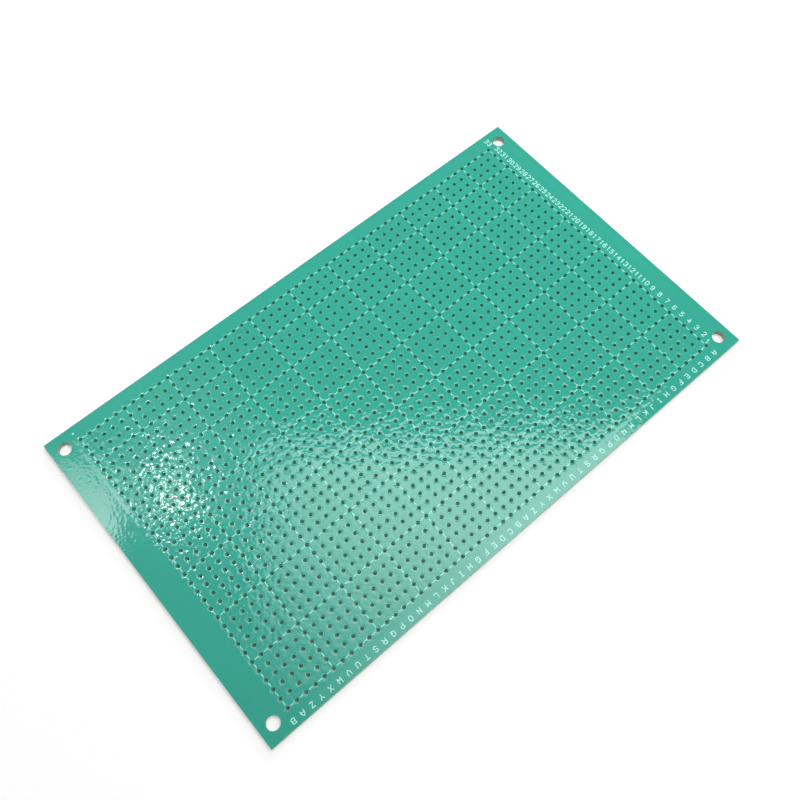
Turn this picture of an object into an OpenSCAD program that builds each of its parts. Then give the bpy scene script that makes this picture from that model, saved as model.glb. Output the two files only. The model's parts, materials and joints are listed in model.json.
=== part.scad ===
// Prototype circuit board: a perforated board on which trial circuits are soldered by hand.
// One glass-epoxy sheet carries a solder mask on each face. The component face has a printed
// grid, and the solder face has a tinned ring round every lead hole and a row of tinned
// fingers along each short edge. All sizes are in millimetres.
// The origin is the centre of the plane that the board rests on, with the component face up.

/* [Board] */
// Length of the board, along X
board_l = 150; // [100:1:180]
// Width of the board, along Y
board_w = 90; // [50:1:120]
// Thickness of the bare laminate
laminate_t = 1.5; // [0.6:0.1:3]

/* [Coatings] */
// Thickness of the solder mask on the component face
component_mask_t = 0.03; // [0.02:0.01:0.06]
// Thickness of a pad, which is etched copper with its coat of tin
pad_t = 0.05; // [0.04:0.01:0.12]
// Thickness of the printed ink
ink_t = 0.02; // [0.01:0.01:0.04]

/* [Lead holes] */
// Distance between neighbouring lead holes
pitch = 2.54; // [2.5:0.01:3.2]
// Diameter of a lead hole
lead_d = 1; // [0.8:0.05:1.3]
// Least distance from a short edge to the nearest lead holes
end_margin = 7.5; // [7.2:0.1:12]
// Least distance from a long edge to the nearest lead holes
side_margin = 4.2; // [3:0.1:8]
// Width of the bare ring that the mask leaves round a hole on the component face
pull_back = 0.2; // [0.1:0.05:0.3]

/* [Fixing holes] */
// Diameter of a fixing hole
fixing_d = 3.3; // [2.5:0.1:4]
// Distance from a short edge to the centre of a fixing hole
fixing_end = 3.5; // [3:0.1:4.2]
// Distance from a long edge to the centre of a fixing hole
fixing_side = 4; // [3:0.1:5]

/* [Pads] */
// Outer diameter of a ring pad
ring_d = 2.1; // [1.6:0.05:2.3]
// Length of a finger pad, along X
finger_l = 4.75; // [3:0.05:5.2]
// Width of a finger pad, along Y
finger_w = 1.9; // [1.2:0.05:2.2]
// Distance from a short edge to the outer end of a finger pad
finger_end = 1; // [0.5:0.05:1.2]
// Least distance from a fixing hole to a finger pad
finger_clear = 1; // [0.8:0.1:3]
// Clearance from a pad to the mask round it
mask_clear = 0.05; // [0.02:0.01:0.07]

/* [Print] */
// Width of a printed dash
dash_w = 0.25; // [0.15:0.01:0.5]
// Clearance from the end of a dash to the bare ring round a hole
dash_clear = 0.07; // [0:0.01:0.2]
// Holes from one printed line to the next
line_step = 5; // [4:1:10]

/* [Hidden] */
$fn = 32;
tiny = 0.001; // guards floor() against rounding
cols = floor((board_l - 2 * end_margin) / pitch + tiny) + 1;
rows = floor((board_w - 2 * side_margin) / pitch + tiny) + 1;
solder_mask_t = pad_t; // the lower mask is level with the pads
laminate_z = pad_t;
component_mask_z = laminate_z + laminate_t;
ink_z = component_mask_z + component_mask_t;
bare_d = lead_d + 2 * pull_back; // opening round a lead hole in the upper mask
dash_l = pitch - bare_d - 2 * dash_clear;
finger_x = board_l / 2 - finger_end - finger_l / 2;
fixing_x = board_l / 2 - fixing_end;
fixing_y = board_w / 2 - fixing_side;
// Fingers lie midway between two rows of holes. Gaps too near a fixing hole have none.
finger_y_limit = fixing_y - fixing_d / 2 - finger_clear - finger_w / 2;
last_gap_y = (rows - 2) / 2 * pitch;
bare_gaps = max(0, ceil((last_gap_y - finger_y_limit) / pitch));
fingers = rows - 1 - 2 * bare_gaps;

mask_green = [0.25, 0.68, 0.59];
laminate_cream = [0.87, 0.86, 0.74];
tin_grey = [0.84, 0.84, 0.86];
ink_white = [0.93, 0.98, 0.95];

function row_name(row) = str("pad_row_", row < 9 ? "0" : "", row + 1);
function col_x(col) = (col - (cols - 1) / 2) * pitch;
function row_y(row) = (row - (rows - 1) / 2) * pitch;
function finger_y(finger) = (finger - (fingers - 1) / 2) * pitch;

// Printed lines come every line_step holes, and the last two gaps share what is left.
function full_steps(holes) = floor((holes - 2 - line_step) / line_step);
function printed_lines(holes) = let (start = full_steps(holes) * line_step) concat(
    [for (step = [0 : full_steps(holes)]) step * line_step],
    [start + ceil((holes - 1 - start) / 2), holes - 1]
);

module at_lead_holes() {
    for (col = [0 : cols - 1], row = [0 : rows - 1])
        translate([col_x(col), row_y(row)])
            children();
}

module at_fixing_holes() {
    for (x = [-fixing_x, fixing_x], y = [-fixing_y, fixing_y])
        translate([x, y])
            children();
}

// The fingers of one short edge: side is -1 at the left and 1 at the right
module at_fingers(side) {
    for (finger = [0 : fingers - 1])
        translate([side * finger_x, finger_y(finger)])
            children();
}

// A finger's outline, grown by a clearance all round
module finger_outline(grow = 0) {
    width = finger_w + 2 * grow;
    straight = finger_l - finger_w;
    square([straight, width], center = true);
    for (x = [-straight / 2, straight / 2])
        translate([x, 0])
            circle(d = width);
}

module dash(length, width) {
    translate([0, 0, ink_z + ink_t / 2])
        cube([length, width, ink_t], center = true);
}

module laminate() {
    color(laminate_cream)
        translate([0, 0, laminate_z])
            linear_extrude(laminate_t)
                difference() {
                    square([board_l, board_w], center = true);
                    at_lead_holes() circle(d = lead_d);
                    at_fixing_holes() circle(d = fixing_d);
                }
}

module mask_component_side() {
    color(mask_green)
        translate([0, 0, component_mask_z])
            linear_extrude(component_mask_t)
                difference() {
                    square([board_l, board_w], center = true);
                    at_lead_holes() circle(d = bare_d);
                    at_fixing_holes() circle(d = fixing_d);
                }
}

module mask_solder_side() {
    color(mask_green)
        linear_extrude(solder_mask_t)
            difference() {
                square([board_l, board_w], center = true);
                at_lead_holes() circle(d = ring_d + 2 * mask_clear);
                at_fixing_holes() circle(d = fixing_d);
                for (side = [-1, 1])
                    at_fingers(side) finger_outline(mask_clear);
            }
}

// The ring pads of one row of lead holes
module pad_row(row) {
    color(tin_grey)
        for (col = [0 : cols - 1])
            translate([col_x(col), row_y(row), 0])
                linear_extrude(pad_t)
                    difference() {
                        circle(d = ring_d);
                        circle(d = lead_d);
                    }
}

module finger_pads(side) {
    color(tin_grey)
        at_fingers(side)
            linear_extrude(pad_t)
                finger_outline();
}

module finger_pads_left() finger_pads(-1);

module finger_pads_right() finger_pads(1);

// Dashes between the holes of each printed column
module legend_columns() {
    color(ink_white)
        for (col = printed_lines(cols), row = [0 : rows - 2])
            translate([col_x(col), (row_y(row) + row_y(row + 1)) / 2, 0])
                dash(dash_w, dash_l);
}

// Dashes between the holes of each printed row
module legend_rows() {
    color(ink_white)
        for (row = printed_lines(rows), col = [0 : cols - 2])
            translate([(col_x(col) + col_x(col + 1)) / 2, row_y(row), 0])
                dash(dash_l, dash_w);
}

laminate();
mask_component_side();
mask_solder_side();
for (row = [0 : rows - 1])
    pad_row(row);
finger_pads_left();
finger_pads_right();
legend_columns();
legend_rows();
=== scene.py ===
"""Looks of the prototype circuit board: its meshes, materials, camera, floor and lights."""

import json
import math

import bpy
import numpy as np
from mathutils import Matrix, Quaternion, Vector
from mathutils.geometry import delaunay_2d_cdt

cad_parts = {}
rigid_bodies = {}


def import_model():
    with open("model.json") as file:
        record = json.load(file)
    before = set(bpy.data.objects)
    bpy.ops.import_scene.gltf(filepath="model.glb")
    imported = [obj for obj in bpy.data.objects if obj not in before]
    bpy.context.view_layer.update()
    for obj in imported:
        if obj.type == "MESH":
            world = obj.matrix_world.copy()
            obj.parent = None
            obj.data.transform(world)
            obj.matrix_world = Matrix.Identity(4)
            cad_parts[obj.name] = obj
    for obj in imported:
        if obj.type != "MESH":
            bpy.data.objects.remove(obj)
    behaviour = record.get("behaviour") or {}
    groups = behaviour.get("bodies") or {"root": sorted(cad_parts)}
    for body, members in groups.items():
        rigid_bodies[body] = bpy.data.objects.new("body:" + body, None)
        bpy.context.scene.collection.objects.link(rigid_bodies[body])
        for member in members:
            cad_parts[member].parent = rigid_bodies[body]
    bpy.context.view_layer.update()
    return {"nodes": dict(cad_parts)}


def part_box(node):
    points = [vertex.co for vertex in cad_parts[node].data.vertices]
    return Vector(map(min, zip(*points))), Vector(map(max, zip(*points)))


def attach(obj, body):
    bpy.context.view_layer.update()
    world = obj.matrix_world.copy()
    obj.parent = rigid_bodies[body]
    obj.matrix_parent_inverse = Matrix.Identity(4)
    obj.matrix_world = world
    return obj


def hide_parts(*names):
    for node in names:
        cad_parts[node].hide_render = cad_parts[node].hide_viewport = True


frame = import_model()

MM = 0.001
MM_IN_METRE = 1 / MM

# ---------------------------------------------------------------- the board, read from the frame

NODES = frame["nodes"]
PAD_ROWS = sorted(name for name in NODES if name.startswith("pad_row_"))
FINGER_NODES = ("finger_pads_left", "finger_pads_right")
DASH_NODES = ("legend_columns", "legend_rows")
UPPER_MASK = "mask_component_side"
LOWER_MASK = "mask_solder_side"

BOARD_LOW, BOARD_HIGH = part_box("laminate")
ROW_LOW, ROW_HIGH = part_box(PAD_ROWS[0])
NEXT_LOW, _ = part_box(PAD_ROWS[1])
FINGER_LOW, FINGER_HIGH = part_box("finger_pads_right")
UPPER_MASK_Z = [corner.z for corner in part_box(UPPER_MASK)]
LOWER_MASK_Z = [corner.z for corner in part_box(LOWER_MASK)]
INK_Z = [corner.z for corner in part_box("legend_rows")]

# Sizes of the part's source that no node's box gives
LEAD_D = 1.0 * MM
BARE_D = 1.4 * MM  # opening of the upper mask round a lead hole
MASK_CLEAR = 0.05 * MM
FIXING_D = 3.3 * MM
FIXING_X = BOARD_HIGH.x - 3.5 * MM
FIXING_Y = BOARD_HIGH.y - 4.0 * MM
FINGER_W = 1.9 * MM

PITCH = NEXT_LOW.y - ROW_LOW.y
RING_D = ROW_HIGH.y - ROW_LOW.y
COLS = round((ROW_HIGH.x - ROW_LOW.x - RING_D) / PITCH) + 1
ROWS = len(PAD_ROWS)
CELL = PITCH / 2  # half a cell, which is the square round one lead hole
GRID_X = COLS * CELL  # half the length and half the width of all cells together
GRID_Y = ROWS * CELL

FINGER_L = FINGER_HIGH.x - FINGER_LOW.x
FINGER_X = (FINGER_HIGH.x + FINGER_LOW.x) / 2
FINGERS = round((FINGER_HIGH.y - FINGER_LOW.y - FINGER_W) / PITCH) + 1


def col_x(col):
    return (col - (COLS - 1) / 2) * PITCH


def row_y(row):
    return (row - (ROWS - 1) / 2) * PITCH


def finger_y(finger):
    return (finger - (FINGERS - 1) / 2) * PITCH


# ---------------------------------------------------------------- mesh building

HOLE_SEGMENTS = 16
FIXING_SEGMENTS = 48
FINGER_END_SEGMENTS = 10
PEN_END_SEGMENTS = 6
DOT_SEGMENTS = 20

WELD_STEP = 1e-4 * MM  # points that round to the same step become one
SHEET_TOLERANCE = 1e-5  # how near two points are joined, in millimetres
PRINT_TOLERANCE = 1e-3
PRINT_DIGITS = 4  # decimals that a printed outline keeps, in millimetres
BEND_ANGLE = 40  # an edge that bends more, in degrees, stays sharp
PAD_BEND_ANGLE = 50


class Shape:
    """Vertices and faces in metres, gathered bit by bit into one mesh."""

    def __init__(self):
        self.points = []
        self.faces = []
        self.count = 0

    def add(self, points, faces):
        """Adds points and the faces that index them."""
        self.points.append(np.asarray(points, float))
        self.faces.extend(tuple(i + self.count for i in face) for face in faces)
        self.count += len(points)

    def repeat(self, points, faces, places):
        """Adds a copy of the same points and faces at each (x, y) place."""
        points = np.asarray(points, float)
        for x, y in places:
            self.add(points + (x, y, 0), faces)

    def build(self, name, material, slot, smooth_angle=None, weld=False):
        """The mesh object, riding on the board's one body."""
        points = np.concatenate(self.points)
        faces = self.faces
        if weld:
            keys = np.round(points / WELD_STEP).astype(np.int64)
            _, first, index = np.unique(keys, axis=0, return_index=True, return_inverse=True)
            index = index.reshape(-1)
            points = points[first]
            faces = [tuple(index[i] for i in face) for face in faces]
        mesh = bpy.data.meshes.new(name)
        mesh.from_pydata(points.tolist(), [], faces)
        mesh.materials.append(material)
        if smooth_angle is not None:
            mesh.polygons.foreach_set("use_smooth", [True] * len(mesh.polygons))
            mesh.set_sharp_from_angle(angle=math.radians(smooth_angle))
        mesh.update()
        piece = link_object(mesh, name)
        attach(piece, "root")
        return piece


def link_object(data, name):
    made = bpy.data.objects.new(name, data)
    bpy.context.scene.collection.objects.link(made)
    return made


def reverse(faces):
    """The same faces turned over."""
    return [face[::-1] for face in faces]


def arc(x, y, radius, start, segments):
    """Points of half a circle, counterclockwise from the start angle."""
    turns = [start + math.pi * k / segments for k in range(segments + 1)]
    return [(x + radius * math.cos(a), y + radius * math.sin(a)) for a in turns]


def circle(radius, segments, x=0.0, y=0.0):
    """Points of a circle, counterclockwise."""
    turns = [2 * math.pi * k / segments for k in range(segments)]
    return [(x + radius * math.cos(a), y + radius * math.sin(a)) for a in turns]


def stadium(length, width, x, y):
    """Points of a slot's outline along X, counterclockwise."""
    radius, straight = width / 2, (length - width) / 2
    return (arc(x + straight, y, radius, -math.pi / 2, FINGER_END_SEGMENTS)
            + arc(x - straight, y, radius, math.pi / 2, FINGER_END_SEGMENTS))


def capsule(ax, ay, bx, by, radius):
    """The outline of a pen stroke with round ends, counterclockwise."""
    angle = math.atan2(by - ay, bx - ax)
    return (arc(bx, by, radius, angle - math.pi / 2, PEN_END_SEGMENTS)
            + arc(ax, ay, radius, angle + math.pi / 2, PEN_END_SEGMENTS))


def strip(lower, upper, count):
    """Quads between two closed rings of indices that start at lower and upper."""
    return [(lower + k, lower + (k + 1) % count, upper + (k + 1) % count, upper + k)
            for k in range(count)]


def inside(x, y, loop):
    """True if the point is inside a convex loop that runs counterclockwise."""
    for (ax, ay), (bx, by) in zip(loop, loop[1:] + loop[:1]):
        if (bx - ax) * (y - ay) - (by - ay) * (x - ax) < 0:
            return False
    return True


def centre(face, flat):
    """The middle of a triangle whose corners are in flat."""
    return (sum(flat[i][0] for i in face) / 3, sum(flat[i][1] for i in face) / 3)


def triangulate(loops, tolerance):
    """Covers closed loops and all between them: (points in millimetres, triangles)."""
    points, edges = [], []
    for loop in loops:
        start, count = len(points), len(loop)
        points += loop
        edges += [(start + k, start + (k + 1) % count) for k in range(count)]
    found = delaunay_2d_cdt([Vector(p) * MM_IN_METRE for p in points], edges, [], 0, tolerance)
    return found[0], found[2]


def square_fan(ring, corners):
    """Triangles from a ring of indices out to the four corners of its cell."""
    count = len(ring)
    quarter = count // 4
    faces = []
    for k in range(count):
        faces.append((ring[k], corners[k // quarter], ring[(k + 1) % count]))
        if k % quarter == 0:
            faces.append((ring[k], corners[(k // quarter - 1) % 4], corners[k // quarter]))
    return faces


def perforated_cell(radius, z_low, z_high):
    """The square of a sheet round one hole: (points, faces), open at its four sides."""
    corners = [(CELL, CELL), (-CELL, CELL), (-CELL, -CELL), (CELL, -CELL)]
    points = [(x, y, z) for z in (z_high, z_low) for x, y in circle(radius, HOLE_SEGMENTS)]
    points += [(x, y, z) for z in (z_high, z_low) for x, y in corners]
    up, down = range(HOLE_SEGMENTS), range(HOLE_SEGMENTS, 2 * HOLE_SEGMENTS)
    first_corner = 2 * HOLE_SEGMENTS
    faces = square_fan(up, range(first_corner, first_corner + 4))
    faces += reverse(square_fan(down, range(first_corner + 4, first_corner + 8)))
    faces += reverse(strip(down[0], up[0], HOLE_SEGMENTS))
    return points, faces


def board_outline():
    x0, y0, x1, y1 = BOARD_LOW.x, BOARD_LOW.y, BOARD_HIGH.x, BOARD_HIGH.y
    return [(x0, y0), (x1, y0), (x1, y1), (x0, y1)]


def margin_faces(cut_outs):
    """Triangulates the board's margin round the cells, without its cut-outs: (points, faces)."""
    xs = [-GRID_X + PITCH * k for k in range(COLS + 1)]
    ys = [-GRID_Y + PITCH * k for k in range(ROWS + 1)]
    inner = [(x, -GRID_Y) for x in xs[:-1]] + [(GRID_X, y) for y in ys[:-1]]
    inner += [(x, GRID_Y) for x in xs[:0:-1]] + [(-GRID_X, y) for y in ys[:0:-1]]
    points, faces = triangulate([board_outline(), inner, *cut_outs], SHEET_TOLERANCE)
    flat = [(p.x / MM_IN_METRE, p.y / MM_IN_METRE) for p in points]
    kept = []
    for face in faces:
        x, y = centre(face, flat)
        in_cells = abs(x) < GRID_X and abs(y) < GRID_Y
        if not in_cells and not any(inside(x, y, loop) for loop in cut_outs):
            kept.append(tuple(face))
    return flat, kept


def wall(shape, loop, z_low, z_high, outward):
    """Adds the upright wall along a closed counterclockwise loop."""
    count = len(loop)
    points = [(x, y, z) for z in (z_low, z_high) for x, y in loop]
    faces = strip(0, count, count)
    shape.add(points, faces if outward else reverse(faces))


def perforated_sheet(hole_radius, z_low, z_high, cut_outs):
    """A whole sheet: cells, the margin on both faces, and the walls of its edge and cut-outs."""
    shape = Shape()
    places = [(col_x(col), row_y(row)) for col in range(COLS) for row in range(ROWS)]
    shape.repeat(*perforated_cell(hole_radius, z_low, z_high), places)
    flat, faces = margin_faces(cut_outs)
    shape.add([(x, y, z_high) for x, y in flat], faces)
    shape.add([(x, y, z_low) for x, y in flat], reverse(faces))
    wall(shape, board_outline(), z_low, z_high, True)
    for loop in cut_outs:
        wall(shape, loop, z_low, z_high, False)
    return shape


def fixing_outlines():
    return [circle(FIXING_D / 2, FIXING_SEGMENTS, x, y)
            for x in (-FIXING_X, FIXING_X) for y in (-FIXING_Y, FIXING_Y)]


def finger_outlines(grow):
    return [stadium(FINGER_L + 2 * grow, FINGER_W + 2 * grow, side * FINGER_X, finger_y(finger))
            for side in (-1, 1) for finger in range(FINGERS)]


def merged_prism(outlines, z_low, z_high):
    """One closed solid from convex outlines that may overlap: (points, faces)."""
    points, triangles = triangulate(outlines, PRINT_TOLERANCE)
    flat = [tuple(round(v, PRINT_DIGITS) / MM_IN_METRE for v in point) for point in points]
    first = {}
    same = [first.setdefault(point, i) for i, point in enumerate(flat)]  # joins equal points
    kept, sides = [], {}
    for face in triangles:
        face = tuple(same[i] for i in face)
        if len(set(face)) < 3:
            continue
        x, y = centre(face, flat)
        if any(inside(x, y, loop) for loop in outlines):
            kept.append(face)
            for i, j in zip(face, face[1:] + face[:1]):
                sides[i, j] = True
    count = len(flat)
    solid = [(x, y, z_high) for x, y in flat] + [(x, y, z_low) for x, y in flat]
    faces = kept + [tuple(i + count for i in face[::-1]) for face in kept]
    faces += [(j, i, i + count, j + count) for i, j in sides if (j, i) not in sides]
    used = sorted({i for face in faces for i in face})
    place = {old: new for new, old in enumerate(used)}
    return [solid[i] for i in used], [tuple(place[i] for i in face) for face in faces]


# ---------------------------------------------------------------- shader nodes

def new_material(name):
    """A material whose node tree is still empty: (material, tree)."""
    material = bpy.data.materials.new(name)
    material.use_nodes = True
    material.node_tree.nodes.clear()
    return material, material.node_tree


def node(tree, kind, **settings):
    made = tree.nodes.new(kind)
    for key, value in settings.items():
        setattr(made, key, value)
    return made


def feed(tree, socket, value):
    """Gives a socket its value: another socket, a number, or a colour of three parts."""
    if isinstance(value, bpy.types.NodeSocket):
        tree.links.new(value, socket)
    else:
        socket.default_value = (*value, 1) if isinstance(value, tuple) else value


def math_node(tree, operation, *operands):
    made = node(tree, "ShaderNodeMath", operation=operation)
    for socket, value in zip(made.inputs, operands):
        feed(tree, socket, value)
    return made.outputs[0]


def add(tree, a, b):
    return math_node(tree, "ADD", a, b)


def times(tree, a, b):
    return math_node(tree, "MULTIPLY", a, b)


def vector_math(tree, operation, vector, fixed, output="Value"):
    """A Vector Math node whose second operand is fixed."""
    made = node(tree, "ShaderNodeVectorMath", operation=operation)
    tree.links.new(vector, made.inputs[0])
    made.inputs[1].default_value = fixed
    return made.outputs[output]


def map_range(tree, value, span, result, kind="LINEAR"):
    """Maps the value's span to the result's, and holds it at both ends."""
    made = node(tree, "ShaderNodeMapRange", interpolation_type=kind)
    for socket, operand in zip(made.inputs, (value, *span, *result)):
        feed(tree, socket, operand)
    return made.outputs[0]


def noise(tree, coordinates, scale, detail=2.0, roughness=0.5):
    made = node(tree, "ShaderNodeTexNoise")
    for key, value in (("Vector", coordinates), ("Scale", scale), ("Detail", detail),
                       ("Roughness", roughness)):
        feed(tree, made.inputs[key], value)
    return made.outputs["Fac"]


def mapped(tree, coordinates, key, value):
    """The coordinates turned or scaled by a Mapping node."""
    made = node(tree, "ShaderNodeMapping")
    made.inputs[key].default_value = value
    tree.links.new(coordinates, made.inputs[0])
    return made.outputs[0]


def mix_colour(tree, factor, first, second):
    made = node(tree, "ShaderNodeMix", data_type="RGBA")
    for index, value in ((0, factor), (6, first), (7, second)):
        feed(tree, made.inputs[index], value)
    return made.outputs[2]


def split_xyz(tree):
    """A place on the piece, as a vector and as its three numbers."""
    coordinates = node(tree, "ShaderNodeTexCoord").outputs["Object"]
    parts = node(tree, "ShaderNodeSeparateXYZ")
    tree.links.new(coordinates, parts.inputs[0])
    return coordinates, *parts.outputs


def finish_material(tree, colour, roughness, height, metallic=0.0):
    """The Principled shader that every surface ends in. The height is in metres."""
    shader = node(tree, "ShaderNodeBsdfPrincipled")
    bump = node(tree, "ShaderNodeBump")
    bump.inputs["Distance"].default_value = 1.0
    feed(tree, bump.inputs["Height"], height)
    for key, value in (("Metallic", metallic), ("Base Color", colour), ("Roughness", roughness),
                       ("Normal", bump.outputs["Normal"])):
        feed(tree, shader.inputs[key], value)
    output = node(tree, "ShaderNodeOutputMaterial")
    tree.links.new(shader.outputs[0], output.inputs["Surface"])
    return shader


# ---------------------------------------------------------------- materials

# Each pair of colours is mixed by a noise, from the first to the second
MASK_COLOURS = (0.004, 0.312, 0.228), (0.008, 0.356, 0.263)
FOIL_COLOURS = (0.07, 0.45, 0.35), (0.09, 0.50, 0.39)
EDGE_COLOURS = (0.36, 0.41, 0.30), (0.60, 0.63, 0.50)
# The drilled walls are green, and painted paler than the coat: painted light, as if light shone
# through the laminate
DRILLED_WALL_GLOW_COLOURS = (0.050, 0.47, 0.34), (0.12, 0.68, 0.51)
RESIN_COLOURS = (0.030, 0.37, 0.28), (0.090, 0.47, 0.36)
TIN_COLOURS = (0.56, 0.56, 0.58), (0.82, 0.82, 0.83)
DASH_COLOURS = (0.13, 0.63, 0.51), (0.34, 0.84, 0.74)
INDEX_COLOURS = (0.26, 0.72, 0.61), (0.52, 0.90, 0.82)

MASK_ROUGHNESS = 0.035
RESIN_ROUGHNESS = 0.10
LAMINATE_ROUGHNESS = 0.6
LAMINATE_SPECULAR = 0.2  # cut glass cloth barely shines
INK_ROUGHNESS = 0.22
TIN_SMOOTHEST, TIN_VARIATION = 0.16, 0.30

# How many waves each noise has in a metre, and how high they are
PEEL_SCALE, PEEL_HEIGHT = 1100, 0.034 * MM
BROAD_SCALE, BROAD_HEIGHT = 330, 0.027 * MM
FINE_SCALE, FINE_HEIGHT = 1500, 0.0085 * MM
LAYER_SCALE, LAYER_HEIGHT = 900, 0.02 * MM
BLOTCH_SCALE, BLOTCH_HEIGHT = 700, 0.012 * MM
GRAIN_SCALE, GRAIN_HEIGHT = 3200, 0.002 * MM
PATCH_SCALE, PATCH_HEIGHT = 2400, 0.003 * MM
SPECKLE_SCALE = 3000
TINT_SCALE = 45

WAVE_IN_MARGIN = 0.17  # share of the coat's waves that is left in the margins
FINE_IN_GRID = 0.2  # share of the fine waves that is left between the lead holes
NOISE_TURN = (0.6, 0.8, 0.5)  # keeps the noise's own grid off the board's axes
LAYER_STRETCH = (1, 1, 14)  # the glass cloth lies in thin layers
ROUGH_NOISE = 0.6

DIMPLE = 0.021 * MM  # how far the upper coat sags at a lead hole
SAG = (0.45 * MM, 1.02 * MM)  # distances from the hole's centre: full sag, and none
GRID_FADE = 0.6 * MM  # how far the grid's edge is blurred to each side
WALL_START = 0.004 * MM  # height over the laminate's lower face


def to_nearest_hole(tree, x, count):
    """Distance along one axis to the nearest hole's centre line, inside the grid."""
    wrapped = math_node(tree, "FLOORED_MODULO", add(tree, x, count * CELL), PITCH)
    return math_node(tree, "SUBTRACT", wrapped, CELL)


def inside_grid(tree, x, y):
    """1 where lead holes are, 0 in the margins."""
    parts = [map_range(tree, math_node(tree, "ABSOLUTE", value),
                       (half - GRID_FADE, half + GRID_FADE), (1, 0), "SMOOTHSTEP")
             for value, half in ((x, GRID_X), (y, GRID_Y))]
    return times(tree, *parts)


def coat_relief(tree, coordinates, x, y, dimple_depth):
    """Height of the coat: it sags round each lead hole, and waves like orange peel between."""
    across = to_nearest_hole(tree, x, COLS)
    along = to_nearest_hole(tree, y, ROWS)
    squared = add(tree, times(tree, across, across), times(tree, along, along))
    sag = map_range(tree, math_node(tree, "SQRT", squared), SAG, (-dimple_depth, 0),
                    "SMOOTHERSTEP")
    grid = inside_grid(tree, x, y)
    turned = mapped(tree, coordinates, "Rotation", NOISE_TURN)
    peel = times(tree, noise(tree, turned, PEEL_SCALE, 0.0), PEEL_HEIGHT)
    broad = times(tree, noise(tree, turned, BROAD_SCALE, 0.0), BROAD_HEIGHT)
    wave_share = add(tree, times(tree, grid, 1 - WAVE_IN_MARGIN), WAVE_IN_MARGIN)
    wave = times(tree, add(tree, peel, broad), wave_share)
    fine = times(tree, noise(tree, turned, FINE_SCALE, 0.0), FINE_HEIGHT)
    fine_share = math_node(tree, "SUBTRACT", 1.0, times(tree, grid, 1 - FINE_IN_GRID))
    dimple = times(tree, sag, grid)
    return add(tree, add(tree, dimple, wave), times(tree, fine, fine_share))


def mask_material(name, colours, dimple_depth):
    """Glossy solder mask, a little darker in patches where the film is thicker."""
    material, tree = new_material(name)
    coordinates, x, y, _ = split_xyz(tree)
    colour = mix_colour(tree, noise(tree, coordinates, TINT_SCALE, 3.0), *colours)
    relief = coat_relief(tree, coordinates, x, y, dimple_depth)
    finish_material(tree, colour, MASK_ROUGHNESS, relief)
    return material


def laminate_material():
    """Glass-epoxy: pale cut edges that show the layers of cloth, and green drilled walls, painted
    paler than the coat as if light shone through the laminate.
    """
    material, tree = new_material("laminate")
    coordinates, x, y, z = split_xyz(tree)
    stretched = mapped(tree, coordinates, "Scale", LAYER_STRETCH)
    layers = noise(tree, stretched, LAYER_SCALE, 3.0, ROUGH_NOISE)
    edge = mix_colour(tree, layers, *EDGE_COLOURS)
    drilled = mix_colour(tree, layers, *DRILLED_WALL_GLOW_COLOURS)
    on_wall = math_node(tree, "GREATER_THAN", z, BOARD_LOW.z + WALL_START)
    # where the drilled walls get their green with painted light, as if lit through the laminate
    hole_wall_glow = times(tree, inside_grid(tree, x, y), on_wall)
    colour = mix_colour(tree, hole_wall_glow, edge, drilled)
    height = times(tree, layers, LAYER_HEIGHT)
    shader = finish_material(tree, colour, LAMINATE_ROUGHNESS, height)
    shader.inputs["Specular IOR Level"].default_value = LAMINATE_SPECULAR
    return material


def resin_material():
    """The laminate's own glossy resin, which shows as a paler ring round each lead hole."""
    material, tree = new_material("resin")
    coordinates, x, y, _ = split_xyz(tree)
    colour = mix_colour(tree, noise(tree, coordinates, SPECKLE_SCALE), *RESIN_COLOURS)
    finish_material(tree, colour, RESIN_ROUGHNESS, coat_relief(tree, coordinates, x, y, DIMPLE))
    return material


def tin_material():
    """Hot-levelled tin over copper: bright, uneven in gloss, slightly rippled."""
    material, tree = new_material("tin")
    coordinates = node(tree, "ShaderNodeTexCoord").outputs["Object"]
    blotch = noise(tree, coordinates, BLOTCH_SCALE)
    grain = noise(tree, coordinates, GRAIN_SCALE)
    colour = mix_colour(tree, blotch, *TIN_COLOURS)
    roughness = add(tree, times(tree, blotch, TIN_VARIATION), TIN_SMOOTHEST)
    height = add(tree, times(tree, blotch, BLOTCH_HEIGHT), times(tree, grain, GRAIN_HEIGHT))
    finish_material(tree, colour, roughness, height, metallic=1.0)
    return material


def ink_material(name, colours):
    """Screen-printed white ink, thin enough for a little green to show through."""
    material, tree = new_material(name)
    coordinates, x, y, _ = split_xyz(tree)
    patchy = noise(tree, coordinates, PATCH_SCALE, 3.0, ROUGH_NOISE)
    colour = mix_colour(tree, patchy, *colours)
    height = add(tree, coat_relief(tree, coordinates, x, y, DIMPLE),
                 times(tree, patchy, PATCH_HEIGHT))
    finish_material(tree, colour, INK_ROUGHNESS, height)
    return material


LAMINATE = laminate_material()
RESIN = resin_material()
MASK = mask_material("component_mask", MASK_COLOURS, DIMPLE)
UNDER_MASK = mask_material("solder_mask", MASK_COLOURS, 0.0)
FOIL_UNDER_MASK = mask_material("foil_under_mask", FOIL_COLOURS, 0.0)
TIN = tin_material()
DASH_INK = ink_material("legend_ink", DASH_COLOURS)
INDEX_INK = ink_material("index_ink", INDEX_COLOURS)


# ---------------------------------------------------------------- sheets and pads

TABLE_Z, UNDERSIDE_Z = LOWER_MASK_Z  # the plane under the pads, and the laminate's lower face
MASK_FACE_Z = TABLE_Z + 0.022 * MM  # the lower film is thinner than the pads, which stand proud

# Sections of the tin, which is thickest in the middle of a pad: how far in from the rim or
# from the hole, and how high over the table
RING_HOLE_STEPS = [(0.0, 0.020 * MM), (0.14 * MM, 0.003 * MM)]
RING_RIM_STEPS = [(0.2 * MM, 0.0), (0.0, 0.026 * MM)]
FINGER_STEPS = [(0.0, 0.026 * MM), (0.10 * MM, 0.005 * MM), (0.35 * MM, 0.0)]


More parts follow.
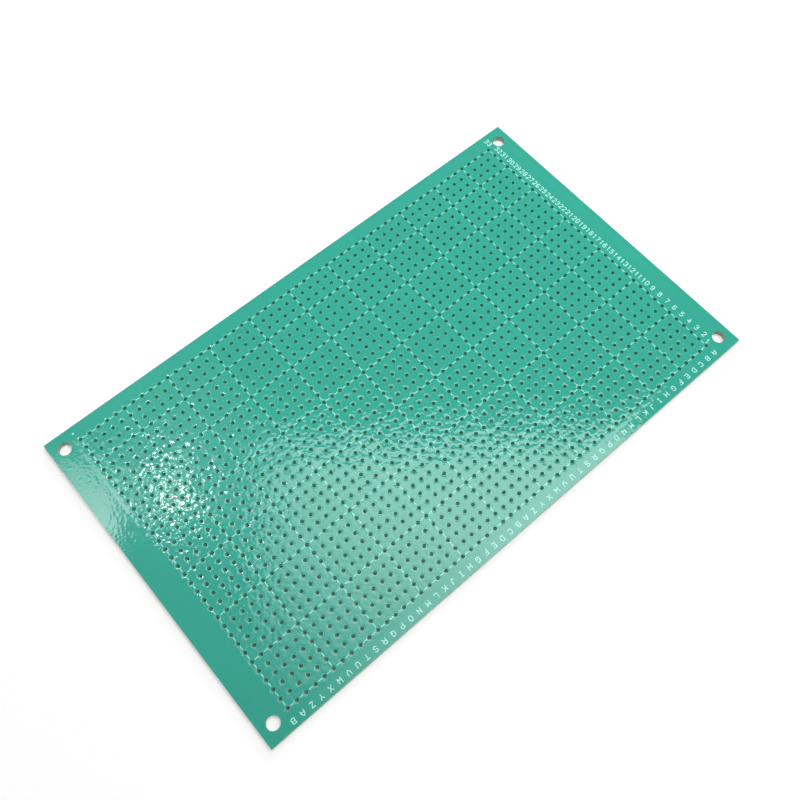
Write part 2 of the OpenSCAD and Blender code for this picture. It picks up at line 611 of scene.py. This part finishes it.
def laminate():
    shape = perforated_sheet(LEAD_D / 2, BOARD_LOW.z, BOARD_HIGH.z, fixing_outlines())
    piece = shape.build("board_laminate", LAMINATE, "laminate", BEND_ANGLE, weld=True)
    piece.data.materials.append(RESIN)
    for face in piece.data.polygons:
        if face.normal.z > 0.5:
            face.material_index = 1
    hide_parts("laminate")


def component_mask():
    shape = perforated_sheet(BARE_D / 2, *UPPER_MASK_Z, fixing_outlines())
    piece = shape.build("component_mask_film", MASK, "solder_mask", BEND_ANGLE, weld=True)
    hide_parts(UPPER_MASK)


def solder_mask():
    cut_outs = fixing_outlines() + finger_outlines(MASK_CLEAR)
    shape = perforated_sheet(RING_D / 2 + MASK_CLEAR, MASK_FACE_Z, UNDERSIDE_Z, cut_outs)
    piece = shape.build("solder_mask_film", UNDER_MASK, "solder_mask", BEND_ANGLE, weld=True)
    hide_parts(LOWER_MASK)


def pad_rows():
    inner, outer = LEAD_D / 2, RING_D / 2
    profile = [(inner, ROW_HIGH.z)]
    profile += [(inner + inset, TABLE_Z + z) for inset, z in RING_HOLE_STEPS]
    profile += [(outer - inset, TABLE_Z + z) for inset, z in RING_RIM_STEPS]
    profile += [(outer, ROW_HIGH.z)]
    points = [(x, y, z) for radius, z in profile for x, y in circle(radius, HOLE_SEGMENTS)]
    faces = []
    for k in range(len(profile)):
        following = (k + 1) % len(profile)
        faces += strip(k * HOLE_SEGMENTS, following * HOLE_SEGMENTS, HOLE_SEGMENTS)
    for row, name in enumerate(PAD_ROWS):
        shape = Shape()
        shape.repeat(points, faces, [(col_x(col), row_y(row)) for col in range(COLS)])
        piece = shape.build("tinned_" + name, TIN, "tinned_pad", PAD_BEND_ANGLE)
        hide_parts(name)


def finger_solid(x, y):
    """A finger pad as (points, faces), from the laminate down to its rounded face."""
    levels = [(0.0, FINGER_HIGH.z)] + [(inset, TABLE_Z + z) for inset, z in FINGER_STEPS]
    points = []
    for inset, z in levels:
        loop = stadium(FINGER_L - 2 * inset, FINGER_W - 2 * inset, x, y)
        points += [(px, py, z) for px, py in loop]
    count = len(points) // len(levels)
    faces = []
    for k in range(len(levels) - 1):
        faces += reverse(strip(k * count, (k + 1) * count, count))
    faces.append(tuple(range(count)))
    faces.append(tuple(reversed(range(len(points) - count, len(points)))))
    return points, faces


def finger_pads():
    for side, name in zip((-1, 1), FINGER_NODES):
        shape = Shape()
        for finger in range(FINGERS):
            shape.add(*finger_solid(side * FINGER_X, finger_y(finger)))
        piece = shape.build("tinned_" + name, TIN, "tinned_pad", PAD_BEND_ANGLE)
        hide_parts(name)


def dashes():
    for name in DASH_NODES:
        NODES[name].data.materials.clear()
        NODES[name].data.materials.append(DASH_INK)


# ---------------------------------------------------------------- index letters and numbers

# Strokes of a plain plotter alphabet, on a square one unit wide and one unit high
GLYPHS = {
    "A": "0,0 0,.6 .5,1 1,.6 1,0|0,.36 1,.36",
    "B": "0,0 0,1 .72,1 .96,.86 .96,.66 .72,.52 0,.52|.72,.52 1,.38 1,.14 .75,0 0,0",
    "C": "1,.82 .78,1 .25,1 0,.78 0,.22 .25,0 .78,0 1,.18",
    "D": "0,0 0,1 .62,1 1,.7 1,.3 .62,0 0,0",
    "E": "1,1 0,1 0,0 1,0|0,.52 .72,.52",
    "F": "1,1 0,1 0,0|0,.52 .72,.52",
    "G": "1,.82 .78,1 .25,1 0,.78 0,.22 .25,0 .78,0 1,.2 1,.46 .58,.46",
    "H": "0,0 0,1|1,0 1,1|0,.5 1,.5",
    "I": ".5,0 .5,1|.2,0 .8,0|.2,1 .8,1",
    "J": ".9,1 .9,.22 .68,0 .3,0 .08,.22",
    "K": "0,0 0,1|1,1 0,.38|.32,.58 1,0",
    "L": "0,1 0,0 1,0",
    "M": "0,0 0,1 .5,.45 1,1 1,0",
    "N": "0,0 0,1 1,0 1,1",
    "O": ".28,0 .72,0 1,.25 1,.75 .72,1 .28,1 0,.75 0,.25 .28,0",
    "P": "0,0 0,1 .75,1 1,.85 1,.59 .75,.44 0,.44",
    "Q": ".28,0 .72,0 1,.25 1,.75 .72,1 .28,1 0,.75 0,.25 .28,0|.6,.32 1,0",
    "R": "0,0 0,1 .75,1 1,.85 1,.59 .75,.44 0,.44|.5,.44 1,0",
    "S": ".97,.84 .75,1 .25,1 .02,.84 .02,.64 .25,.52 .75,.48 .98,.34 .98,.16 .75,0 .25,0 0,.17",
    "T": "0,1 1,1|.5,1 .5,0",
    "U": "0,1 0,.24 .26,0 .74,0 1,.24 1,1",
    "V": "0,1 0,.42 .5,0 1,.42 1,1",
    "W": "0,1 0,0 .5,.5 1,0 1,1",
    "X": "0,0 1,1|0,1 1,0",
    "Y": "0,1 .5,.5 1,1|.5,.5 .5,0",
    "Z": "0,1 1,1 0,0 1,0",
    "0": ".28,0 .72,0 1,.25 1,.75 .72,1 .28,1 0,.75 0,.25 .28,0",
    "1": ".15,.78 .5,1 .5,0",
    "2": "0,.8 .25,1 .75,1 1,.8 1,.6 0,0 1,0",
    "3": "0,.85 .25,1 .75,1 1,.84 1,.65 .75,.52 .4,.52|.75,.52 1,.38 1,.16 .75,0 .25,0 0,.15",
    "4": ".78,0 .78,1 0,.32 1,.32",
    "5": ".95,1 .1,1 .04,.56 .3,.64 .72,.64 1,.44 1,.2 .72,0 .25,0 0,.16",
    "6": ".9,.88 .7,1 .3,1 0,.72 0,.22 .26,0 .74,0 1,.2 1,.38 .74,.56 .26,.56 0,.38",
    "7": "0,1 1,1 .36,0",
    "8": ".27,.52 .04,.66 .04,.85 .27,1 .73,1 .96,.85 .96,.66 .73,.52 .27,.52"
         " 0,.36 0,.16 .27,0 .73,0 1,.16 1,.36 .73,.52",
    "9": ".1,.12 .3,0 .7,0 1,.28 1,.78 .74,1 .26,1 0,.8 0,.62 .26,.44 .74,.44 1,.62",
}
ALPHABET = 26
PEN = 0.21 * MM
LETTER_SIZE = 1.05 * MM, 1.40 * MM
DIGIT_SIZE = 0.95 * MM, 1.50 * MM
DIGIT_STEP = 1.22 * MM

# Each lead is how much longer the print's step is than the holes'
LETTER_GAP = 2.66 * MM  # from the first row of holes to the first letter
LETTER_LEAD = 0.66 * MM / (COLS - 1)
LETTER_SLOPE = 0.28 * MM / (COLS - 1)  # each letter is also this much farther from the holes
FOIL_GAP = 2.26 * MM
NUMBER_GAP = 2.05 * MM  # from the last column of holes to the numbers
NUMBER_LEAD = 0.7 * MM / (ROWS - 2)
FIRST_NUMBER_MOVE = -0.95 * MM, 0.62 * MM  # these two make room for the fixing holes
LAST_NUMBER_MOVE = -0.45 * MM, 1.2 * MM
DOT_RADIUS = 0.24 * MM
DOT_OFFSET = -0.6 * MM, 2.45 * MM
FOIL_Z = TABLE_Z + 0.012 * MM, MASK_FACE_Z


def glyph_strokes(character, size, turn):
    """Outlines of a character's strokes. turn maps its own x and y to the board's."""
    width, height = size
    outlines = []
    for line in GLYPHS[character].split("|"):
        points = [tuple(float(v) for v in pair.split(",")) for pair in line.split()]
        points = [turn((x - 0.5) * (width - PEN), (y - 0.5) * (height - PEN)) for x, y in points]
        outlines += [capsule(*a, *b, PEN / 2) for a, b in zip(points, points[1:])]
    return outlines


def print_characters(placed, size, turn, z_low, z_high):
    """A Shape that holds each (character, x, y) as its own thin solid."""
    shape, made = Shape(), {}
    for character, x, y in placed:
        if character not in made:
            outlines = glyph_strokes(character, size, turn)
            made[character] = merged_prism(outlines, z_low, z_high)
        shape.repeat(*made[character], [(x, y)])
    return shape


def column_letter(col):
    """Columns are lettered from the right-hand end, A to Z and then from A again."""
    return chr(ord("A") + (COLS - 1 - col) % ALPHABET)


def index_letters():
    """The letters along the near long edge. Their tops point at the edge."""
    placed = []
    for col in range(COLS):
        back = COLS - 1 - col
        x = col_x(col) - back * LETTER_LEAD
        y = row_y(0) - LETTER_GAP - back * LETTER_SLOPE
        placed.append((column_letter(col), x, y))
    shape = print_characters(placed, LETTER_SIZE, lambda x, y: (-x, -y), *INK_Z)
    shape.build("index_letters", INDEX_INK, "legend_ink")


def index_numbers():
    """The numbers along the right-hand short edge. Their tops point at the edge."""
    moves = {0: FIRST_NUMBER_MOVE, ROWS - 1: LAST_NUMBER_MOVE}
    placed = []
    for row in range(ROWS):
        move_x, move_y = moves.get(row, (0.0, 0.0))
        x = col_x(COLS - 1) + NUMBER_GAP + move_x
        y = row_y(row) + max(row - 1, 0) * NUMBER_LEAD + move_y
        digits = str(row + 1)
        for k, digit in enumerate(digits):
            placed.append((digit, x, y - (k - (len(digits) - 1) / 2) * DIGIT_STEP))
    shape = print_characters(placed, DIGIT_SIZE, lambda x, y: (y, -x), *INK_Z)
    shape.build("index_numbers", INDEX_INK, "legend_ink")


def print_dot():
    """A round mark at the corner where the row numbers of the other end would start."""
    place = col_x(0) + DOT_OFFSET[0], row_y(ROWS - 1) + DOT_OFFSET[1]
    shape = Shape()
    shape.repeat(*merged_prism([circle(DOT_RADIUS, DOT_SEGMENTS)], *INK_Z), [place])
    shape.build("print_dot", INDEX_INK, "legend_ink")


def foil_letters():
    """Copper letters under the lower mask, which show as raised paler green."""
    placed = [(column_letter(col), col_x(col), row_y(0) - FOIL_GAP) for col in range(COLS)]
    shape = print_characters(placed, LETTER_SIZE, lambda x, y: (-x, y), *FOIL_Z)
    shape.build("foil_letters", FOIL_UNDER_MASK, "solder_mask")


laminate()
component_mask()
solder_mask()
pad_rows()
finger_pads()
dashes()
index_letters()
index_numbers()
print_dot()
foil_letters()


# ---------------------------------------------------------------- camera, floor and world

CAMERA_TARGET = Vector((-1.85 * MM, -1.52 * MM, BOARD_HIGH.z + 0.03 * MM))
CAMERA_DISTANCE = 224.6 * MM
CAMERA_AZIMUTH, CAMERA_ELEVATION, CAMERA_ROLL = 228.2, 66.07, 1.19  # degrees
CAMERA_SENSOR, CAMERA_LENS = 36, 40.95  # millimetres
CAMERA_CLIP = 0.01, 10

FLOOR_HALF = 3.0
FLOOR_Z = -0.02 * MM
FLOOR_COLOUR = (0.86, 0.86, 0.86)
# The floor under the lead holes is painted: shade, which shows dim and green through the holes,
# and light towards the near left corner.
PAINTED_LIGHT_UNDER_HOLES, PAINTED_SHADE_UNDER_HOLES = (0.40, 0.47, 0.43), (0.08, 0.34, 0.27)  # painted light and painted shade on the floor under the lead holes
PAINTED_LIGHT_CENTRE = (-38 * MM, -62 * MM, 0)
PAINTED_LIGHT_FADE = (15 * MM, 65 * MM)  # distances from that centre: all painted light, and all painted shade
FLOOR_GLOW = 0.28  # beside the board, so that the board's shadow still shows
GLOW_FADE = (0.14, 0.5)  # distances from the board's centre: only that glow, and white
AMBIENT = 0.24  # strength of the soft light from all round
SQUARE = [(-1, -1), (1, -1), (1, 1), (-1, 1)]  # corners of a panel, for its half size


def place_camera():
    """From above the near left corner, with the whole board in frame and a slight roll."""
    azimuth, elevation = math.radians(CAMERA_AZIMUTH), math.radians(CAMERA_ELEVATION)
    back = Vector((math.cos(azimuth) * math.cos(elevation),
                   math.sin(azimuth) * math.cos(elevation), math.sin(elevation)))
    data = bpy.data.cameras.new("camera")
    data.sensor_width, data.lens = CAMERA_SENSOR, CAMERA_LENS
    data.clip_start, data.clip_end = CAMERA_CLIP
    camera = link_object(data, "camera")
    camera.location = CAMERA_TARGET + back * CAMERA_DISTANCE
    roll = Quaternion((0, 0, 1), math.radians(CAMERA_ROLL))
    camera.rotation_mode = "QUATERNION"
    camera.rotation_quaternion = (-back).to_track_quat("-Z", "Y") @ roll
    bpy.context.scene.camera = camera


def floor_material():
    """Pale, with painted shade that makes it dim and green under the lead holes and painted light
    under those towards the near left corner; white far from the board, and clear from below.
    """
    material, tree = new_material("floor")
    link = tree.links.new
    coordinates, x, y, _ = split_xyz(tree)
    painted_under_grid = inside_grid(tree, x, y)
    from_corner = vector_math(tree, "DISTANCE", coordinates, PAINTED_LIGHT_CENTRE)
    painted_shade_share = map_range(tree, from_corner, PAINTED_LIGHT_FADE, (0, 1), "SMOOTHSTEP")
    # painted shade under the lead holes, paler with painted light towards the near left corner
    under = mix_colour(tree, painted_shade_share, PAINTED_LIGHT_UNDER_HOLES, PAINTED_SHADE_UNDER_HOLES)
    diffuse = node(tree, "ShaderNodeBsdfDiffuse")
    link(mix_colour(tree, painted_under_grid, FLOOR_COLOUR, under), diffuse.inputs["Color"])

    reach = math_node(tree, "SQRT", add(tree, times(tree, x, x), times(tree, y, y)))
    away = map_range(tree, reach, GLOW_FADE, (FLOOR_GLOW, 1.0), "SMOOTHSTEP")
    glow = node(tree, "ShaderNodeEmission")
    open_floor = math_node(tree, "SUBTRACT", 1.0, painted_under_grid)
    link(times(tree, open_floor, away), glow.inputs["Strength"])

    def mix_shader(factor, first, second):
        made = node(tree, "ShaderNodeMixShader")
        for socket, value in zip(made.inputs, (factor, first, second)):
            link(value, socket)
        return made.outputs[0]

    lit = node(tree, "ShaderNodeAddShader")
    link(diffuse.outputs[0], lit.inputs[0])
    link(glow.outputs[0], lit.inputs[1])
    clear = node(tree, "ShaderNodeBsdfTransparent")
    seen = node(tree, "ShaderNodeLightPath").outputs["Is Camera Ray"]
    from_below = node(tree, "ShaderNodeNewGeometry").outputs["Backfacing"]
    top = mix_shader(seen, diffuse.outputs[0], lit.outputs[0])
    output = node(tree, "ShaderNodeOutputMaterial")
    link(mix_shader(from_below, top, clear.outputs[0]), output.inputs["Surface"])
    return material


def floor():
    mesh = bpy.data.meshes.new("floor")
    mesh.from_pydata([(x * FLOOR_HALF, y * FLOOR_HALF, 0) for x, y in SQUARE], [], [(0, 1, 2, 3)])
    mesh.materials.append(floor_material())
    piece = link_object(mesh, "floor")
    piece.location.z = FLOOR_Z
    piece.visible_glossy = False


def world():
    """White surroundings for the camera and for reflections, and soft light from all round."""
    made = bpy.data.worlds.new("world")
    bpy.context.scene.world = made
    made.use_nodes = True
    tree = made.node_tree
    tree.nodes.clear()
    path = node(tree, "ShaderNodeLightPath").outputs
    white = math_node(tree, "MAXIMUM", path["Is Camera Ray"], path["Is Glossy Ray"])
    white = math_node(tree, "MAXIMUM", white, path["Is Transmission Ray"])
    background = node(tree, "ShaderNodeBackground")
    background.inputs["Color"].default_value = (1, 1, 1, 1)
    strength = map_range(tree, white, (0, 1), (AMBIENT, 1.0))
    tree.links.new(strength, background.inputs["Strength"])
    output = node(tree, "ShaderNodeOutputWorld")
    tree.links.new(background.outputs[0], output.inputs[0])


# ---------------------------------------------------------------- lights

# Two glowing panels, which show in the gloss only
SOFTBOX_CORNER = Vector((0.095, 0.404, 1.0))
SOFTBOX_ALONG, SOFTBOX_INWARD = Vector((0.788, -0.615, 0)), Vector((-0.615, -0.788, 0))
SOFTBOX_SIDE = 0.80
SOFTBOX_LEAN = 0.6  # how far the direction in which it fades turns away from inward
SOFTBOX_FADE = (-0.05, 0.33)  # that way from the corner: fully bright, and dim
SOFTBOX_BRIGHT, SOFTBOX_DIM = 6.4, 1.0

LAMP_Z = 1.03
CORE_PLACE = Vector((-0.036, 0.444, LAMP_Z))
HOT_PLACE = Vector((-0.135, 0.445, LAMP_Z))
HAZE_PLACE = Vector((0.020, 0.500, LAMP_Z))
REFLECTOR_PLACE = Vector((-0.190, 0.512, LAMP_Z))
CORE_LENGTH, CORE_WIDTH = 0.028, 0.0080
CORE_ALONG, CORE_ACROSS = Vector((0.67, 0.742, 0)), Vector((0.742, -0.67, 0))
CORE_BRIGHT = 94.0
HALO_RADIUS, HALO_BRIGHT = 0.040, 5.0
HAZE_RADIUS, HAZE_BRIGHT = 0.12, 0.7
REFLECTOR_RADIUS, REFLECTOR_RIM = 0.098, (-0.012, 0.006)  # its edge blurs across the rim
GLOW_REACH, GLOW_BRIGHT, GLOW_DIM = 0.2, 7.0, 0.8  # the reflector's, away from its hot spot
LAMP_BASE = 1.0  # as bright as the white surroundings
LAMP_HALF = 0.22  # half the side of the panel that holds all of these

# Lamps that light the board but show in no reflection. Their powers are in watts
KEY_PLACE, KEY_SIZE, KEY_POWER = (0.62, 0.44, 0.44), 0.25, 1.5
ACCENT_PLACE, ACCENT_TARGET, ACCENT_POWER = (0.10, 0.14, 0.85), (0.06, 0.10, 0), 9.2
ACCENT_ANGLE, ACCENT_BLEND, ACCENT_RADIUS = 26.5, 0.5, 0.05
UNDER_PLACE, UNDER_SIZE, UNDER_POWER = (0.3, -0.2, -0.7), 0.8, 5.6


def emitter(name, corners, build_strength):
    """A glowing panel that the camera doesn't see. build_strength gives its strength's socket."""
    mesh = bpy.data.meshes.new(name)
    mesh.from_pydata(corners, [], [(0, 1, 2, 3)])
    piece = link_object(mesh, name)
    material, tree = new_material(name)
    coordinates = node(tree, "ShaderNodeTexCoord").outputs["Object"]
    glow = node(tree, "ShaderNodeEmission")
    tree.links.new(build_strength(tree, coordinates), glow.inputs["Strength"])
    output = node(tree, "ShaderNodeOutputMaterial")
    tree.links.new(glow.outputs[0], output.inputs["Surface"])
    mesh.materials.append(material)
    piece.visible_camera = False


def softbox():
    """A studio softbox overhead, brightest towards its far end. The gloss shows a corner."""
    fading = SOFTBOX_INWARD - SOFTBOX_LEAN * SOFTBOX_ALONG
    start = SOFTBOX_CORNER.dot(fading)

    def strength(tree, coordinates):
        along_fade = vector_math(tree, "DOT_PRODUCT", coordinates, fading)
        span = [start + step for step in SOFTBOX_FADE]
        return map_range(tree, along_fade, span, (SOFTBOX_BRIGHT, SOFTBOX_DIM))

    along, inward = SOFTBOX_ALONG * SOFTBOX_SIDE, SOFTBOX_INWARD * SOFTBOX_SIDE
    emitter("softbox", [SOFTBOX_CORNER, SOFTBOX_CORNER + along,
                        SOFTBOX_CORNER + along + inward, SOFTBOX_CORNER + inward], strength)


def bell(tree, squared, peak):
    """A soft spot: its peak where squared is 0, and about a third of that where it is 1."""
    return times(tree, math_node(tree, "EXPONENT", times(tree, squared, -1)), peak)


def round_spot(tree, coordinates, place, radius, peak):
    distance = vector_math(tree, "DISTANCE", coordinates, place)
    squared = math_node(tree, "POWER", math_node(tree, "DIVIDE", distance, radius), 2)
    return bell(tree, squared, peak)


def long_spot(tree, coordinates):
    """The bright core of the lamp, which is a short tube."""
    apart = vector_math(tree, "SUBTRACT", coordinates, CORE_PLACE, "Vector")
    parts = []
    for direction, radius in ((CORE_ALONG, CORE_LENGTH), (CORE_ACROSS, CORE_WIDTH)):
        part = vector_math(tree, "DOT_PRODUCT", apart, direction / radius)
        parts.append(math_node(tree, "POWER", part, 2))
    return bell(tree, add(tree, *parts), CORE_BRIGHT)


def bare_lamp():
    """A lamp beside the softbox: a small bright core in a round reflector that glows."""
    def strength(tree, coordinates):
        dish = map_range(tree, vector_math(tree, "DISTANCE", coordinates, HOT_PLACE),
                         (0, GLOW_REACH), (GLOW_BRIGHT, GLOW_DIM))
        rim = map_range(tree, vector_math(tree, "DISTANCE", coordinates, REFLECTOR_PLACE),
                        [REFLECTOR_RADIUS + step for step in REFLECTOR_RIM], (1, 0), "SMOOTHSTEP")
        spots = add(tree, long_spot(tree, coordinates),
                    round_spot(tree, coordinates, HAZE_PLACE, HAZE_RADIUS, HAZE_BRIGHT))
        spots = add(tree, spots,
                    round_spot(tree, coordinates, CORE_PLACE, HALO_RADIUS, HALO_BRIGHT))
        return add(tree, add(tree, spots, times(tree, dish, rim)), LAMP_BASE)

    middle = (REFLECTOR_PLACE + HAZE_PLACE) / 2
    emitter("bare_lamp", [middle + Vector((x * LAMP_HALF, y * LAMP_HALF, 0)) for x, y in SQUARE],
            strength)


def aimed_lamp(name, kind, place, target, power):
    """A lamp that points at the target."""
    data = bpy.data.lights.new(name, kind)
    data.energy = power
    lamp = link_object(data, name)
    lamp.location = place
    lamp.rotation_mode = "QUATERNION"
    lamp.rotation_quaternion = (Vector(target) - Vector(place)).to_track_quat("-Z", "Y")
    lamp.visible_glossy = False
    return lamp


def round_lamp(name, place, size, power):
    """A disc of light that points at the board's centre."""
    lamp = aimed_lamp(name, "AREA", place, (0, 0, 0), power)
    lamp.data.shape = "DISK"
    lamp.data.size = size
    return lamp


def linked(lamp, pieces):
    """The lamp lights only these objects, and nothing else blocks it."""
    for kind in ("receiver", "blocker"):
        group = bpy.data.collections.new(f"{lamp.name}_{kind}s")
        for piece in pieces:
            group.objects.link(piece)
        setattr(lamp.light_linking, kind + "_collection", group)


def accent():
    """A spot from overhead, on the board alone. It fades out towards the near left corner."""
    lamp = aimed_lamp("accent", "SPOT", ACCENT_PLACE, ACCENT_TARGET, ACCENT_POWER)
    lamp.data.spot_size = math.radians(ACCENT_ANGLE)
    lamp.data.spot_blend = ACCENT_BLEND
    lamp.data.shadow_soft_size = ACCENT_RADIUS
    stage = ("floor", "softbox", "bare_lamp")
    linked(lamp, [piece for piece in bpy.data.objects
                  if piece.type == "MESH" and piece.name not in stage])


def under_light():
    """Light on the solder side, which the floor hides from every other lamp."""
    lamp = round_lamp("under_light", UNDER_PLACE, UNDER_SIZE, UNDER_POWER)
    films = ("solder_mask_film", "foil_letters")
    linked(lamp, [piece for piece in bpy.data.objects
                  if piece.name.startswith("tinned_") or piece.name in films])


place_camera()
floor()
world()
softbox()
bare_lamp()
round_lamp("key", KEY_PLACE, KEY_SIZE, KEY_POWER)
accent()
under_light()

bpy.context.scene.view_settings.view_transform = "Standard"
